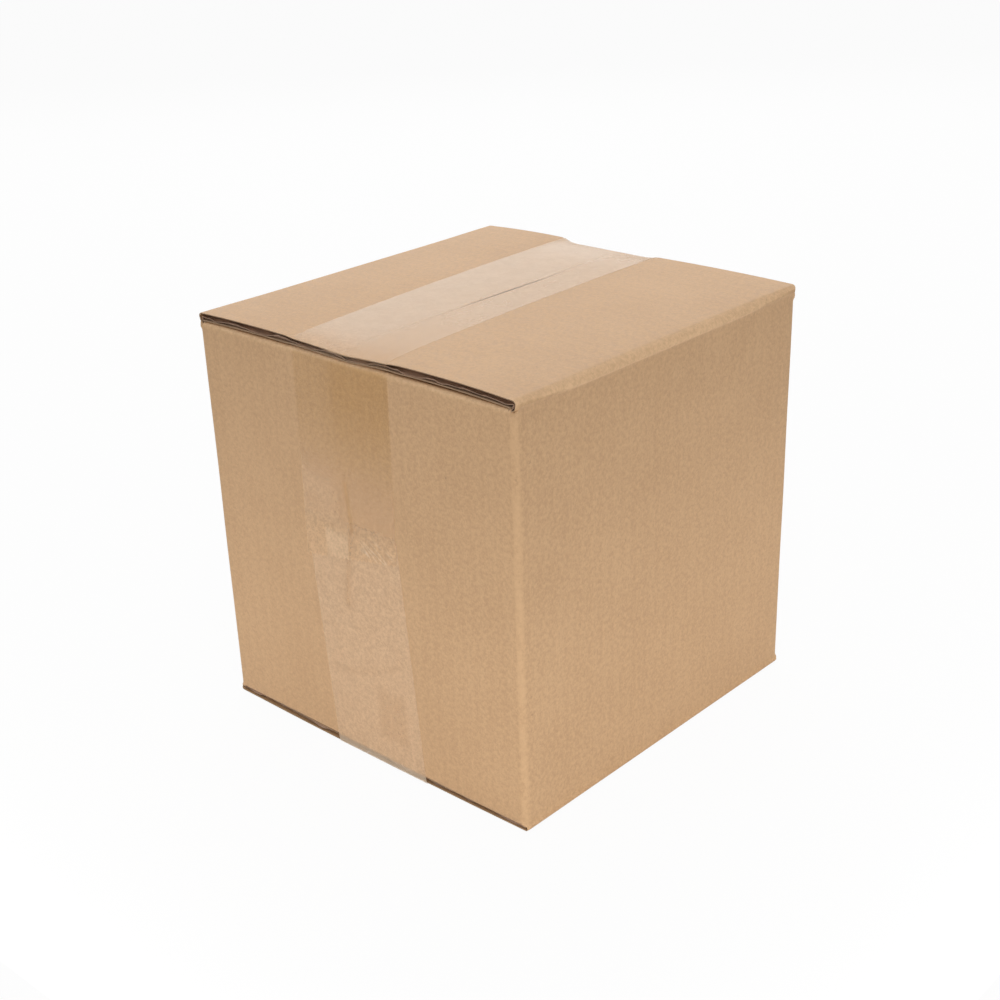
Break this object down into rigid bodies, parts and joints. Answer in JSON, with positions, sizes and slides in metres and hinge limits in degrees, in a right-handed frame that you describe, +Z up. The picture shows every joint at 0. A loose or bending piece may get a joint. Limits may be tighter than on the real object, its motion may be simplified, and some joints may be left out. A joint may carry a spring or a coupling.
{
  "type": "cardboard box",
  "caption": "Closed corrugated cardboard box, near cubic, its flaps folded shut and held by clear tape over the top and bottom seams.",
  "frame": {"origin": "middle of the base, at the height of the surface that the box stands on", "axes": "+Z up; -Y out of the taped front face; the seam of the outer flaps runs along Y"},
  "size_m": [0.1598, 0.162, 0.1651],
  "materials": {
    "board": "matte",
    "tape": "gloss"
  },
  "bodies": {
    "root": {"box": "board", "top_tape": "tape", "bottom_tape": "tape"}
  },
  "joints": []
}
